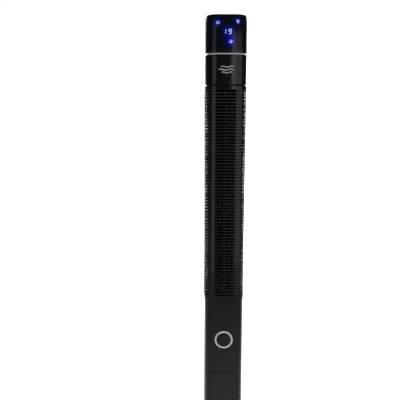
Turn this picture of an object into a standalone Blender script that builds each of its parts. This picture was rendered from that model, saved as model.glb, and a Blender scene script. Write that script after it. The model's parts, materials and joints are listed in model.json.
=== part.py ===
"""Slim tower fan: round base, oscillating column, full-height grille and a touch display head.

Metres, +Z up. The front faces -Y, and the origin is the centre of the base at floor level.
"""
import math

import bmesh
import bpy
from mathutils import Matrix, Vector

# ---- Driving dimensions ----
HEIGHT = 1.1235
COLUMN_HALF = 0.0516          # half the width and half the depth of the column
GRILLE_HALF = 0.0527         # the grille stands a little proud of the column
SECTION_POWER = 4.6          # superellipse exponent of the column's section
WALL = 0.0025
PLATE_EASE = 0.0020          # room between a cross plate and the shells around it
GAP = 0.0003                 # between pieces that touch
RUN = 0.0001                 # radial clearance of the spindle's bores
FINE_RUN = 0.00008           # radial clearance of the wheel's shafts in their bores

BASE_RADIUS = 0.140
BASE_TOP = 0.0297            # flat centre of the base cover
PLATE_BOTTOM = 0.0030        # underside of the base plate, on top of the feet
LEAD_RISE = 0.0118           # height of the lead inside the base
SEAM_LOW = 0.2256            # top of the fixed neck
SEAM_HIGH = 0.2266           # bottom of the turning tower
GRILLE_LOW = 0.4210
GRILLE_HIGH = 0.9620
BAND_LOW = 1.0319            # bright band under the head
BAND_HIGH = 1.0351

SLAT_TOP = 0.9511            # centre of the highest slat
SLAT_PITCH = 0.007712
SLAT_HEIGHT = 0.0028
SLOT_COUNT = 66
SLOT_HALF_WIDTH = 0.0250     # the front slots reach this far from the centre line
RIB_HALF_WIDTH = 0.0013

INTAKE_LOW = 0.4630
INTAKE_PITCH = 0.0120
INTAKE_SLOT = 0.0072
INTAKE_COUNT = 38

WHEEL_Y = 0.004              # the impeller's axis is this far behind the column's centre
WHEEL_RADIUS = 0.0290
WHEEL_LOW = 0.4490
WHEEL_HIGH = 0.9290
BLADE_COUNT = 14
SHAFT_RADIUS = 0.0040
STUB_RADIUS = 0.0030
LOWER_BULKHEAD = 0.4320
UPPER_BULKHEAD = 0.9390
BULKHEAD_THICK = 0.0060

MODULE = 0.0010              # oscillation gearing
SUN_TEETH = 48
PINION_TEETH = 12
GEAR_DISTANCE = MODULE * (SUN_TEETH + PINION_TEETH) / 2
SWING = math.radians(40)
SPINDLE_RADIUS = 0.0120
DECK_LOW = 0.2190
DECK_HIGH = 0.2225
SPINDLE_LOW = 0.2030
TURNTABLE_LOW = 0.2305
TURNTABLE_HIGH = 0.2365

RING_Z = 0.3169
RING_RADIUS = 0.0234
RING_BAND = 0.0045

WINDOW_HALF = 0.0385
WINDOW_LOW = 1.0410
WINDOW_HIGH = 1.1190


# ---- Materials ----
def material(name, colour, roughness, metallic=0.0):
    made = bpy.data.materials.new(name)
    made.use_nodes = True
    shader = made.node_tree.nodes["Principled BSDF"]
    shader.inputs["Base Color"].default_value = (*colour, 1)
    shader.inputs["Roughness"].default_value = roughness
    shader.inputs["Metallic"].default_value = metallic
    return made


FINISHES = {
    "gloss_black": ((0.012, 0.012, 0.015), 0.12, 0.0),
    "grille_black": ((0.014, 0.014, 0.017), 0.22, 0.0),
    "inner_black": ((0.010, 0.010, 0.011), 0.60, 0.0),
    "smoked_window": ((0.006, 0.007, 0.014), 0.05, 0.0),
    "bright_trim": ((0.62, 0.63, 0.65), 0.25, 1.0),
    "rubber": ((0.020, 0.020, 0.020), 0.80, 0.0),
    "steel": ((0.45, 0.46, 0.48), 0.35, 1.0),
    "white_nylon": ((0.75, 0.75, 0.72), 0.45, 0.0),
    "circuit_green": ((0.020, 0.110, 0.050), 0.45, 0.0),
    "led_blue": ((0.050, 0.120, 0.900), 0.30, 0.0),
    "motor_grey": ((0.30, 0.31, 0.33), 0.40, 0.8),
}


# ---- Section of the column: a superellipse, flat-fronted with soft corners ----
def across(x, half):
    """Depth of the section at this x."""
    return half * (1 - abs(x / half) ** SECTION_POWER) ** (1 / SECTION_POWER)


def loop_section(half, steps=24):
    """The whole outline, anticlockwise from +X."""
    points = []
    for step in range(steps):
        turn = 2 * math.pi * step / steps
        cosine, sine = math.cos(turn), math.sin(turn)
        x = half * math.copysign(abs(cosine) ** (2 / SECTION_POWER), cosine)
        y = half * math.copysign(abs(sine) ** (2 / SECTION_POWER), sine)
        points.append((x, y))
    return points


def front_columns(face_x, side_y, half):
    """Outline points from the left seam round the front to the right seam."""
    left = [(-across(y, half), -y) for y in side_y]
    right = [(-x, y) for x, y in reversed(left)]
    face = sorted({x for value in face_x for x in (-value, value)})
    return left + [(x, -across(x, half)) for x in face] + right


def turned_round(points):
    """The same outline on the back of the column."""
    return [(-x, -y) for x, y in points]


# ---- Builders ----
def add(name, mesh_source, finish, origin=(0, 0, 0)):
    """Make an object from a bmesh built in world coordinates, with its origin at the given point."""
    bmesh.ops.recalc_face_normals(mesh_source, faces=mesh_source.faces)
    bmesh.ops.translate(mesh_source, verts=mesh_source.verts, vec=-Vector(origin))
    mesh = bpy.data.meshes.new(name)
    mesh_source.to_mesh(mesh)
    mesh_source.free()
    mesh.shade_smooth()
    mesh.set_sharp_from_angle(angle=math.radians(32))
    mesh.materials.append(material(name, *FINISHES[finish]))
    made = bpy.data.objects.new(name, mesh)
    made.location = origin
    bpy.context.collection.objects.link(made)
    return made


def sheet(name, columns, rows, finish, open_cells=(), closed=False, wall=WALL):
    """A thick skin over a grid of columns (x, y) and rows (z, scale).

    Cells named in open_cells as (column, row) stay open.
    """
    grid = bmesh.new()
    lines = [[grid.verts.new((x * scale, y * scale, z)) for x, y in columns] for z, scale in rows]
    count = len(columns)
    for row in range(len(rows) - 1):
        low, high = lines[row], lines[row + 1]
        for column in range(count if closed else count - 1):
            after = (column + 1) % count
            if (column, row) not in open_cells:
                grid.faces.new((low[column], low[after], high[after], high[column]))
    mesh = bpy.data.meshes.new(name)
    grid.to_mesh(mesh)
    grid.free()
    mesh.materials.append(material(name, *FINISHES[finish]))
    made = bpy.data.objects.new(name, mesh)
    bpy.context.collection.objects.link(made)
    thick = made.modifiers.new("wall", "SOLIDIFY")
    thick.thickness = wall
    thick.offset = -1
    thick.use_even_offset = True
    return made


def loft(name, outline, rings, finish):
    """A cup through (z, scale) copies of an outline: up the outside, across the top and down the inside."""
    solid = bmesh.new()
    loops = [[solid.verts.new((x * scale, y * scale, z)) for x, y in outline] for z, scale in rings]
    turn_over = next(index for index, ring in enumerate(rings) if ring[0] == max(z for z, _ in rings))
    for index, (lower, upper) in enumerate(zip(loops, loops[1:] + loops[:1])):
        if index == turn_over:
            solid.faces.new(lower)
            solid.faces.new(upper)
            continue
        for corner in range(len(outline)):
            after = (corner + 1) % len(outline)
            solid.faces.new((lower[corner], lower[after], upper[after], upper[corner]))
    return add(name, solid, finish)


def prism(name, outline, low, high, finish, origin=(0, 0, 0)):
    """An upright prism over a closed outline of (x, y) points."""
    solid = bmesh.new()
    face = solid.faces.new([solid.verts.new((x, y, low)) for x, y in outline])
    raised = bmesh.ops.extrude_face_region(solid, geom=[face])
    tops = [item for item in raised["geom"] if isinstance(item, bmesh.types.BMVert)]
    bmesh.ops.translate(solid, verts=tops, vec=(0, 0, high - low))
    return add(name, solid, finish, origin)


def block(name, low, high, finish, bevel=0.0):
    """A box between two corners, with its edges bevelled if asked."""
    solid = bmesh.new()
    size = Vector(high) - Vector(low)
    middle = (Vector(high) + Vector(low)) / 2
    bmesh.ops.create_cube(solid, size=1, matrix=Matrix.Translation(middle) @ Matrix.Diagonal((*size, 1)))
    if bevel:
        bmesh.ops.bevel(solid, geom=solid.edges[:], offset=bevel, segments=1, affect="EDGES")
    return add(name, solid, finish)


def turned(name, profile, finish, centre=(0, 0), segments=32, facing_front=False):
    """A lathed piece from (radius, height) points. A profile off the axis is a closed ring.

    A piece that faces the front is turned about an axis along -Y instead of +Z.
    """
    solid = bmesh.new()
    points = [solid.verts.new((radius, 0, height)) for radius, height in profile]
    edges = [solid.edges.new(pair) for pair in zip(points, points[1:])]
    if profile[0][0] > 0:
        edges.append(solid.edges.new((points[-1], points[0])))
    bmesh.ops.spin(
        solid, geom=points + edges, cent=(0, 0, 0), axis=(0, 0, 1),
        angle=2 * math.pi, steps=segments, use_merge=True,
    )
    bmesh.ops.remove_doubles(solid, verts=solid.verts, dist=1e-6)
    if facing_front:
        bmesh.ops.rotate(solid, verts=solid.verts, cent=(0, 0, 0), matrix=Matrix.Rotation(math.pi / 2, 3, "X"))
        bmesh.ops.translate(solid, verts=solid.verts, vec=(centre[0], 0, centre[1]))
        return add(name, solid, finish)
    bmesh.ops.translate(solid, verts=solid.verts, vec=(*centre, 0))
    return add(name, solid, finish, (*centre, profile[0][1]))


def disc_profile(radius, low, high):
    return [(0, low), (radius, low), (radius, high), (0, high)]


def ring_profile(inner, outer, low, high):
    return [(inner, low), (outer, low), (outer, high), (inner, high)]


def cut(target, cutter, operation="DIFFERENCE"):
    """Cut a piece with a helper, or join the helper to it."""
    cutter.hide_render = True
    cutter.display_type = "WIRE"
    step = target.modifiers.new(cutter.name, "BOOLEAN")
    step.operation = operation
    step.object = cutter
    return target


def rod_cutter(name, centre, radius, length, axis="Z", segments=16):
    """A helper rod, centred on a point, along an axis."""
    solid = bmesh.new()
    turn = Matrix.Rotation(math.pi / 2, 4, "X") if axis == "Y" else Matrix.Identity(4)
    bmesh.ops.create_cone(
        solid, cap_ends=True, segments=segments, radius1=radius, radius2=radius,
        depth=length, matrix=Matrix.Translation(centre) @ turn,
    )
    return add(name, solid, "steel")


def around(count, radius, start=0.0):
    """Points spread evenly round the origin."""
    turns = (start + 2 * math.pi * index / count for index in range(count))
    return [(radius * math.cos(turn), radius * math.sin(turn)) for turn in turns]


def tube(name, route, radius, finish):
    """A round lead through the points of a smooth curve."""
    curve = bpy.data.curves.new(name, "CURVE")
    curve.dimensions = "3D"
    curve.bevel_depth = radius
    curve.bevel_resolution = 2
    curve.use_fill_caps = True
    spline = curve.splines.new("POLY")
    points = smooth_route(route)
    spline.points.add(len(points) - 1)
    for slot, point in zip(spline.points, points):
        slot.co = (*point, 1)
    curve.materials.append(material(name, *FINISHES[finish]))
    made = bpy.data.objects.new(name, curve)
    bpy.context.collection.objects.link(made)
    return made


def smooth_route(route, steps=3):
    """Catmull-Rom points through a route."""
    knots = [Vector(point) for point in route]
    knots = [2 * knots[0] - knots[1], *knots, 2 * knots[-1] - knots[-2]]
    points = []
    for before, start, end, after in zip(knots, knots[1:], knots[2:], knots[3:]):
        for step in range(steps):
            t = step / steps
            points.append(0.5 * (
                2 * start + (end - before) * t
                + (2 * before - 5 * start + 4 * end - after) * t ** 2
                + (3 * start - before - 3 * end + after) * t ** 3
            ))
    points.append(knots[-2])
    return points


# ---- Plates across the column, and the screws that hold the rear shell to them ----
def rear_screw_places():
    """(x, z) of each screw: two into the edge of each plate."""
    heights = [(TURNTABLE_LOW + TURNTABLE_HIGH) / 2]
    heights += [low + BULKHEAD_THICK / 2 for low in (LOWER_BULKHEAD, UPPER_BULKHEAD)]
    return [(side * 0.026, z) for z in heights for side in (-1, 1)]


def cross_plate(name, low, high):
    """A plate that fills the column's section, drilled for the rear screws that reach it."""
    inset = (COLUMN_HALF - WALL - PLATE_EASE) / COLUMN_HALF
    outline = [(x * inset, y * inset) for x, y in loop_section(COLUMN_HALF)]
    plate = prism(name, outline, low, high, "inner_black")
    for index, (x, z) in enumerate(rear_screw_places()):
        if low < z < high:
            cut(plate, rod_cutter(f"{name}_hole_{index}", (x, COLUMN_HALF, z), 0.0017, 0.026, "Y", 12))
    return plate


# ---- Base ----
def make_base():
    """Round foot: cover, steel weight, bottom plate, feet, screws and the lead's inlet."""
    rim_low = PLATE_BOTTOM
    rim_high = 0.0150
    shoulder = 0.0060
    outer = [(BASE_RADIUS, rim_low), (BASE_RADIUS, rim_high)]
    for step in range(1, 4):
        turn = math.pi / 2 * step / 3
        outer.append((BASE_RADIUS - shoulder * (1 - math.cos(turn)), rim_high + shoulder * math.sin(turn)))
    outer += [(0.1050, 0.0262), (0.0720, BASE_TOP), (0.0305, BASE_TOP)]
    inner = [(0.0305, BASE_TOP - 0.003), (0.0715, BASE_TOP - 0.003), (0.1045, 0.0232)]
    inner += [(BASE_RADIUS - 0.009, 0.0180), (BASE_RADIUS - 0.003, 0.0145), (BASE_RADIUS - 0.003, rim_low)]
    cover = turned("base_cover", outer + inner, "gloss_black", segments=40)
    inlet_at = (0, BASE_RADIUS - 0.004, LEAD_RISE)
    cut(cover, rod_cutter("inlet_hole", inlet_at, 0.0056, 0.02, "Y", 20))
    inlet = turned("cord_inlet", ring_profile(0.0034, 0.0052, 0, 0.0105), "rubber", segments=20)
    inlet.rotation_euler = (-math.pi / 2, 0, 0)
    inlet.location = (0, BASE_RADIUS - 0.0106, inlet_at[2])

    weight = turned("base_weight", ring_profile(0.050, 0.122, 0.0064, 0.0180), "steel", segments=32)
    channel = block("lead_channel", (-0.006, 0.040, 0.0050), (0.006, 0.130, 0.0200), "steel")
    cut(weight, channel)
    plate = turned("base_plate", ring_profile(0.034, BASE_RADIUS - 0.0034, PLATE_BOTTOM, 0.0060), "inner_black", segments=40)
    for index, (x, y) in enumerate(around(4, 0.100, math.pi / 4)):
        cut(plate, rod_cutter(f"plate_hole_{index + 1}", (x, y, 0.0045), 0.0020, 0.01))
        cut(weight, rod_cutter(f"weight_hole_{index + 1}", (x, y, 0.0110), 0.0020, 0.03))
        screw = disc_profile(0.0035, PLATE_BOTTOM - 0.0016, PLATE_BOTTOM - GAP)
        screw[3:] = [(0.0016, PLATE_BOTTOM - GAP), (0.0016, 0.0150), (0, 0.0150)]
        turned(f"base_screw_{index + 1}", screw, "steel", (x, y), 12)
    for index, (x, y) in enumerate(around(4, 0.118)):
        profile = disc_profile(0.0090, 0, PLATE_BOTTOM - GAP)
        profile[1:2] = [(0.0082, 0), (0.0090, 0.0008)]
        turned(f"foot_pad_{index + 1}", profile, "rubber", (x, y), 16)


def make_neck():
    """Fixed lower end of the column, with its spigot through the base cover and its bearing deck."""
    low = BASE_TOP + GAP
    columns = loop_section(COLUMN_HALF)
    neck = sheet("neck_column", columns, [(low, 1), (SEAM_LOW, 1)], "gloss_black", closed=True)
    inside = (COLUMN_HALF - WALL / 2) / COLUMN_HALF
    filling = [(x * inside, y * inside) for x, y in columns]
    deck = prism("neck_deck", filling, DECK_LOW, DECK_HIGH, "gloss_black")
    cut(deck, rod_cutter("deck_bore", (0, 0, DECK_LOW), SPINDLE_RADIUS + RUN, 0.02, segments=36))
    floor = prism("neck_floor", filling, low, low + 0.004, "gloss_black")
    spigot = turned("neck_spigot", ring_profile(0.0220, 0.0300, 0.0165, low + 0.002), "gloss_black", segments=40)
    cut(floor, rod_cutter("floor_bore", (0, 0, low), 0.0260, 0.03, segments=32))
    for extra in (deck, floor, spigot):
        cut(neck, extra, "UNION")
    nut = ring_profile(0.0303, 0.0420, 0.0180, BASE_TOP - 0.003 - GAP)
    turned("neck_lock_nut", nut, "inner_black", segments=40)


# ---- Oscillation drive ----
def tooth(teeth, centre_turn, half_share=0.40):
    """Six (radius, turn) points of one straight-sided tooth."""
    pitch_radius = MODULE * teeth / 2
    spans = ((-1.2, 1.30), (0.0, 1.0), (0.8, 0.52))
    half_turn = half_share * math.pi / teeth
    rising = [(pitch_radius + rise * MODULE, centre_turn - half_turn * wide) for rise, wide in spans]
    falling = [(radius, 2 * centre_turn - turn) for radius, turn in reversed(rising)]
    return rising + falling


def polar(points, centre=(0, 0)):
    return [(centre[0] + radius * math.cos(turn), centre[1] + radius * math.sin(turn)) for radius, turn in points]


def make_drive():
    """Fixed sun gear and stops on the neck, and the motor, pinion and bearings of the turning tower."""
    sun_low, sun_high = DECK_HIGH + GAP, DECK_HIGH + 0.0050
    back = math.pi / 2
    step = 2 * math.pi / SUN_TEETH
    teeth_each_side = 9
    outline = []
    for index in range(-teeth_each_side, teeth_each_side):
        outline += tooth(SUN_TEETH, back + (index + 0.5) * step)
    plain = 0.0205
    peg_radius, peg_at = 0.0020, 0.0290
    lug_start = SWING + math.asin(peg_radius / peg_at) + math.radians(0.6)
    lug_end = lug_start + math.radians(10)
    front = -back + 2 * math.pi
    first, last = back + (teeth_each_side + 0.6) * step, back - (teeth_each_side + 0.6) * step + 2 * math.pi
    turns = [first, first + 0.35, front - lug_end]
    outline += [(plain, turn) for turn in turns]
    outline += [(0.0320, front - lug_end), (0.0320, front - lug_start)]
    outline += [(plain, front + lug_start * share) for share in (-1, -0.5, 0, 0.5, 1)]
    outline += [(0.0320, front + lug_start), (0.0320, front + lug_end)]
    outline += [(plain, turn) for turn in (front + lug_end, last - 0.35, last)]
    sun = prism("sun_gear", polar(outline), sun_low, sun_high, "white_nylon")
    cut(sun, rod_cutter("sun_bore", (0, 0, sun_low), SPINDLE_RADIUS + RUN, 0.02, segments=36))

    hole = SPINDLE_RADIUS + 0.0004
    nut_high = DECK_LOW - 0.0027
    turned("upper_thrust_washer", ring_profile(hole, 0.0185, sun_high + GAP, TURNTABLE_LOW - GAP), "steel", segments=24)
    turned("lower_thrust_washer", ring_profile(hole, 0.0180, nut_high + GAP, DECK_LOW - GAP), "steel", segments=24)
    turned("spindle_nut", ring_profile(hole, 0.0175, nut_high - 0.0063, nut_high), "steel", segments=24)

    table = cross_plate("turntable", TURNTABLE_LOW, TURNTABLE_HIGH)
    spindle = turned("spindle_tube", ring_profile(0.0080, SPINDLE_RADIUS, SPINDLE_LOW, TURNTABLE_HIGH - 0.001),
                     "inner_black", segments=36)
    peg = rod_cutter("stop_peg", (0, -peg_at, TURNTABLE_LOW - 0.0021), peg_radius, 0.0050)
    cut(table, rod_cutter("table_bore", (0, 0, TURNTABLE_LOW), 0.0100, 0.03, segments=32))
    cut(table, spindle, "UNION")
    cut(table, peg, "UNION")
    cut(table, rod_cutter("drive_hole", (0, GEAR_DISTANCE, TURNTABLE_LOW), 0.0045, 0.03))

    points = []
    for index in range(PINION_TEETH):
        points += tooth(PINION_TEETH, -back + index * 2 * math.pi / PINION_TEETH)
    centre = (0, GEAR_DISTANCE)
    pinion_low, pinion_high = DECK_HIGH + 0.0007, DECK_HIGH + 0.0051
    pinion = prism("drive_pinion", polar(points, centre), pinion_low, pinion_high, "white_nylon", (*centre, pinion_low))
    turned("pinion_shaft", disc_profile(0.0025, pinion_high + GAP, TURNTABLE_HIGH + 0.0100), "steel", centre, 16)
    motor = turned("swing_motor", ring_profile(0.0026, 0.0140, TURNTABLE_HIGH + GAP, TURNTABLE_HIGH + 0.0195), "motor_grey", centre, 28)
    return pinion, motor


# ---- Tower shells ----
SIDE_Y = (GAP / 2, 0.0200, 0.0340, 0.0430)   # depths of the outline's points on each side
FACE_X = (0.0430, SLOT_HALF_WIDTH, RIB_HALF_WIDTH)


def make_front_covers():
    """Plain front covers below and above the grille."""
    columns = front_columns(FACE_X, SIDE_Y, COLUMN_HALF)
    sheet("lower_front_cover", columns, [(SEAM_HIGH, 1), (GRILLE_LOW - GAP, 1)], "gloss_black")
    sheet("upper_front_cover", columns, [(GRILLE_HIGH + GAP, 1), (BAND_LOW - GAP, 1)], "gloss_black")
    outer = RING_RADIUS
    back, face = COLUMN_HALF + GAP, COLUMN_HALF + 0.0013
    turned("front_ring", ring_profile(outer - RING_BAND, outer, back, face), "bright_trim",
           (0, RING_Z), 32, facing_front=True)
    turned("ring_insert", disc_profile(outer - RING_BAND - GAP, back, face - 0.0005), "smoked_window",
           (0, RING_Z), 32, facing_front=True)


def make_front_grille():
    """Front grille: a shell with a pair of level slots in each row, either side of the centre rib."""
    columns = front_columns(FACE_X, SIDE_Y, GRILLE_HALF)
    lip = COLUMN_HALF / GRILLE_HALF
    rows = [(GRILLE_LOW, lip), (GRILLE_LOW + 0.0030, 1)]
    half_slot = (SLAT_PITCH - SLAT_HEIGHT) / 2
    for index in reversed(range(SLOT_COUNT)):
        middle = SLAT_TOP - (index + 0.5) * SLAT_PITCH
        rows += [(middle - half_slot, 1), (middle + half_slot, 1)]
    rows += [(GRILLE_HIGH - 0.0030, 1), (GRILLE_HIGH, lip)]
    left_slot = len(SIDE_Y) + 1
    open_cells = {(column, 2 + 2 * index) for index in range(SLOT_COUNT) for column in (left_slot, left_slot + 2)}
    sheet("front_grille", columns, rows, "grille_black", open_cells)


def make_rear_housing():
    """One long rear shell with the air intake slots."""
    face = (0.0430, 0.0310, 0.0040)
    columns = turned_round(front_columns(face, SIDE_Y, COLUMN_HALF))
    rows = [(SEAM_HIGH, 1)]
    for index in range(INTAKE_COUNT):
        low = INTAKE_LOW + index * INTAKE_PITCH
        rows += [(low, 1), (low + INTAKE_SLOT, 1)]
    rows.append((BAND_LOW - GAP, 1))
    first = len(SIDE_Y) + 1
    cells = (first, first + 2)
    open_cells = {(column, 1 + 2 * index) for index in range(INTAKE_COUNT) for column in cells}
    shell = sheet("rear_housing", columns, rows, "gloss_black", open_cells)
    for index, (x, z) in enumerate(rear_screw_places()):
        cut(shell, rod_cutter(f"rear_hole_{index + 1}", (x, COLUMN_HALF, z), 0.0032, 0.012, "Y", 14))
        depth = across(x, COLUMN_HALF)
        profile = disc_profile(0.0029, -depth + 0.0008, -depth + 0.0024)
        profile[3:] = [(0.0013, -depth + 0.0024), (0.0013, -depth + 0.0105), (0, -depth + 0.0105)]
        turned(f"rear_screw_{index + 1}", profile, "steel", (x, z), 12, facing_front=True)


def make_head():
    """Bright band, head shell with a flat top, and the smoked display window let into its front."""
    ring = prism("trim_band", loop_section(COLUMN_HALF + 0.0004, 40), BAND_LOW, BAND_HIGH, "bright_trim")
    cut(ring, prism("band_hole", loop_section(COLUMN_HALF - 0.006, 24), BAND_LOW - 0.01, BAND_HIGH + 0.01, "steel"))
    inside = (COLUMN_HALF - WALL) / COLUMN_HALF
    low = BAND_HIGH + GAP
    rings = [(low, 1), (HEIGHT - 0.0025, 1), (HEIGHT - 0.0008, 0.985), (HEIGHT, 0.965)]
    rings += [(HEIGHT - WALL, 0.900), (HEIGHT - WALL - 0.0020, inside), (low, inside)]
    shell = loft("head_shell", loop_section(COLUMN_HALF, 32), rings, "gloss_black")
    opening = block(
        "window_opening", (-WINDOW_HALF, -0.0600, WINDOW_LOW), (WINDOW_HALF, -0.0300, WINDOW_HIGH), "gloss_black",
    )
    cut(shell, opening)
    edge = WINDOW_HALF - GAP
    glass = [(x, -across(x, COLUMN_HALF)) for x in (-edge, -0.024, -0.012, 0, 0.012, 0.024, edge)]
    sheet("display_window", glass, [(WINDOW_LOW + GAP, 1), (WINDOW_HIGH - GAP, 1)], "smoked_window", wall=0.0015)


# ---- Air path ----
def make_impeller():
    """Cross-flow wheel: end discs, two stiffening rings and upright blades."""
    centre = (0, WHEEL_Y)
    origin = (*centre, WHEEL_LOW)
    thick = 0.0020
    bore = SHAFT_RADIUS + FINE_RUN
    hub_radius, hub_high = 0.0090, WHEEL_LOW + 0.0160
    profile = [(bore, WHEEL_LOW), (WHEEL_RADIUS, WHEEL_LOW), (WHEEL_RADIUS, WHEEL_LOW + thick)]
    profile += [(hub_radius, WHEEL_LOW + thick), (hub_radius, hub_high), (bore, hub_high)]
    wheel = turned("impeller", profile, "inner_black", centre, 24)
    top = turned("wheel_top", ring_profile(STUB_RADIUS + FINE_RUN, WHEEL_RADIUS, WHEEL_HIGH - thick, WHEEL_HIGH),
                 "inner_black", centre, 24)
    blades = bmesh.new()
    for index in range(BLADE_COUNT):
        turn = 2 * math.pi * index / BLADE_COUNT
        lead = 0.30
        section = [(0.0205, turn), (0.0280, turn + lead), (0.0280, turn + lead + 0.035), (0.0205, turn + 0.05)]
        points = polar(section, centre)
        face = blades.faces.new([blades.verts.new((x, y, WHEEL_LOW + thick / 2)) for x, y in points])
        raised = bmesh.ops.extrude_face_region(blades, geom=[face])
        tops = [item for item in raised["geom"] if isinstance(item, bmesh.types.BMVert)]
        bmesh.ops.translate(blades, verts=tops, vec=(0, 0, WHEEL_HIGH - WHEEL_LOW - thick))
    vanes = add("wheel_blades", blades, "inner_black", origin)
    cut(wheel, top, "UNION")
    span = (WHEEL_HIGH - WHEEL_LOW) / 3
    for index in (1, 2):
        low = WHEEL_LOW + index * span
        ring = turned(f"wheel_ring_{index}", ring_profile(0.0190, WHEEL_RADIUS, low, low + thick),
                      "inner_black", centre, 24)
        cut(wheel, ring, "UNION")
    cut(wheel, vanes, "UNION")
    turned("motor_shaft", disc_profile(SHAFT_RADIUS, LOWER_BULKHEAD - 0.0610, WHEEL_LOW + 0.0150), "steel", centre, 24)
    turned("top_stub", disc_profile(STUB_RADIUS, WHEEL_HIGH - thick, UPPER_BULKHEAD + 0.0040), "steel", centre, 24)


def make_motor_and_bulkheads():
    """Fan motor on rubber dampers under the lower bulkhead, and the top bearing in the upper one."""
    centre = (0, WHEEL_Y)
    for name, low, radius in (
        ("lower_bulkhead", LOWER_BULKHEAD, 0.0075),
        ("upper_bulkhead", UPPER_BULKHEAD, 0.0095),
    ):
        deck = cross_plate(name, low, low + BULKHEAD_THICK)
        cut(deck, rod_cutter(f"{name}_bore", (*centre, low), radius, 0.03, segments=24))
        cut(deck, rod_cutter(f"{name}_lead_hole", (-0.0385, 0.0330, low), 0.0035, 0.03))
    bush = [
        (STUB_RADIUS + FINE_RUN, UPPER_BULKHEAD + 0.0002), (0.0092, UPPER_BULKHEAD + 0.0002),
        (0.0092, UPPER_BULKHEAD + 0.0058), (STUB_RADIUS + FINE_RUN, UPPER_BULKHEAD + 0.0058),
    ]
    turned("top_bearing", bush, "rubber", centre, 24)
    bore = SHAFT_RADIUS + FINE_RUN
    outline = [(bore, 0.0560), (0.0120, 0.0560), (0.0120, 0.0510), (0.0310, 0.0490)]
    outline += [(0.0310, 0.0150), (0.0140, 0.0125), (0.0140, 0.0095), (bore, 0.0095)]
    motor = [(radius, LOWER_BULKHEAD - below) for radius, below in outline]
    turned("fan_motor", motor, "motor_grey", centre, 24)
    for index, (x, y) in enumerate(around(3, 0.0215, math.pi / 6)):
        turned(f"motor_damper_{index + 1}", disc_profile(0.0045, LOWER_BULKHEAD - 0.0124, LOWER_BULKHEAD - GAP), "rubber",
               (x, y + WHEEL_Y), 16)


def make_ducts():
    """The two upright walls that turn the wheel's air to the outlet."""
    low, high = LOWER_BULKHEAD + BULKHEAD_THICK + GAP, UPPER_BULKHEAD - GAP
    thick = 0.0016
    arc = []
    for step in range(9):
        share = step / 8
        turn = math.radians(200 - 118 * share)
        radius = WHEEL_RADIUS + 0.0035 + 0.0070 * (1 - share)
        arc.append((radius, turn))
    start = [(-0.0345, -0.0395), (-0.0385, -0.0230)]
    outer = start + polar([(radius, turn) for radius, turn in arc], (0, WHEEL_Y))
    inner = [(start[0][0] + thick, start[0][1]), (start[1][0] + thick, start[1][1])]
    inner += polar([(radius - thick, turn) for radius, turn in arc], (0, WHEEL_Y))
    prism("scroll_wall", outer + inner[::-1], low, high, "inner_black")
    tongue = [(0.0330, -0.0395), (0.0350, -0.0395), (0.0400, -0.0180), (0.0380, -0.0060)]
    tongue += [(0.0350, -0.0040), (0.0335, -0.0060), (0.0345, -0.0180)]
    prism("tongue_wall", tongue, low, high, "inner_black")


# ---- Electronics ----
def make_electronics():
    """Supply in the lower housing, ioniser in the collar, and the display and touch board in the head."""
    low = TURNTABLE_HIGH + 0.0315
    block("power_board", (-0.0300, 0.0330, low), (0.0300, 0.0346, low + 0.0900), "circuit_green")
    block("power_transformer", (-0.0130, 0.0130, low + 0.0100), (0.0130, 0.0327, low + 0.0340), "motor_grey", 0.0015)
    turned("supply_capacitor", disc_profile(0.0080, low + 0.0450, low + 0.0700), "inner_black", (0.0150, 0.0235), 20)
    block("ioniser_module", (-0.0150, -0.0150, UPPER_BULKHEAD + 0.0190), (0.0150, 0.0050, UPPER_BULKHEAD + 0.0540),
          "inner_black", 0.0015)
    board_y, board_thick = -0.0400, 0.0016
    low, high = WINDOW_LOW + 0.0040, WINDOW_HIGH - 0.0040
    block("display_board", (-0.0330, board_y, low), (0.0330, board_y + board_thick, high), "circuit_green")
    block("digit_display", (-0.0120, board_y - 0.0056, low + 0.0310), (0.0180, board_y - GAP, low + 0.0490),
          "led_blue", 0.0008)
    block("signal_receiver", (-0.0280, board_y - 0.0036, low + 0.0060), (-0.0220, board_y - GAP, low + 0.0140),
          "inner_black", 0.0010)
    rear = -board_y - board_thick - GAP
    turned("buzzer", disc_profile(0.0060, rear - 0.0067, rear), "inner_black", (0.0180, low + 0.0180), 20,
           facing_front=True)


def make_leads():
    """Wiring held inside: from the inlet to the spindle, through it to the supply, and up to the head."""
    meeting = SPINDLE_LOW - 0.0047
    tube("base_lead", [
        (0, BASE_RADIUS - 0.0120, LEAD_RISE), (0, 0.100, LEAD_RISE), (0, 0.060, LEAD_RISE), (0, 0.032, LEAD_RISE),
        (0, 0.014, 0.0135), (0, 0.004, 0.0240), (0, 0.0005, 0.050), (0, 0, 0.120), (0, 0, meeting - GAP),
    ], 0.0030, "rubber")
    top = TURNTABLE_HIGH
    tube("tower_lead", [
        (0, 0, meeting + GAP), (0, 0, top - 0.0130), (0, 0, top + 0.0070), (0, 0.004, top + 0.0210),
        (0.006, 0.016, top + 0.0290), (0.016, 0.028, top + 0.0370), (0.020, 0.0300, top + 0.0430),
        (0.020, 0.0300, top + 0.0590),
    ], 0.0025, "rubber")
    low, high = LOWER_BULKHEAD, UPPER_BULKHEAD
    corner = (-0.0385, 0.0330)
    tube("head_lead", [
        (-0.0260, 0.0300, low - 0.0890), (-0.0300, 0.0290, low - 0.0690), (-0.0380, 0.0310, low - 0.0290),
        (*corner, low + 0.0010), (*corner, low + 0.1200), (*corner, low + 0.2600), (*corner, low + 0.4000),
        (*corner, high + 0.0040), (-0.0360, 0.0280, high + 0.0540), (-0.0200, 0.0000, high + 0.0940),
        (-0.0100, -0.0250, high + 0.1240), (-0.0080, -0.0355, high + 0.1340),
    ], 0.0020, "rubber")


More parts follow.
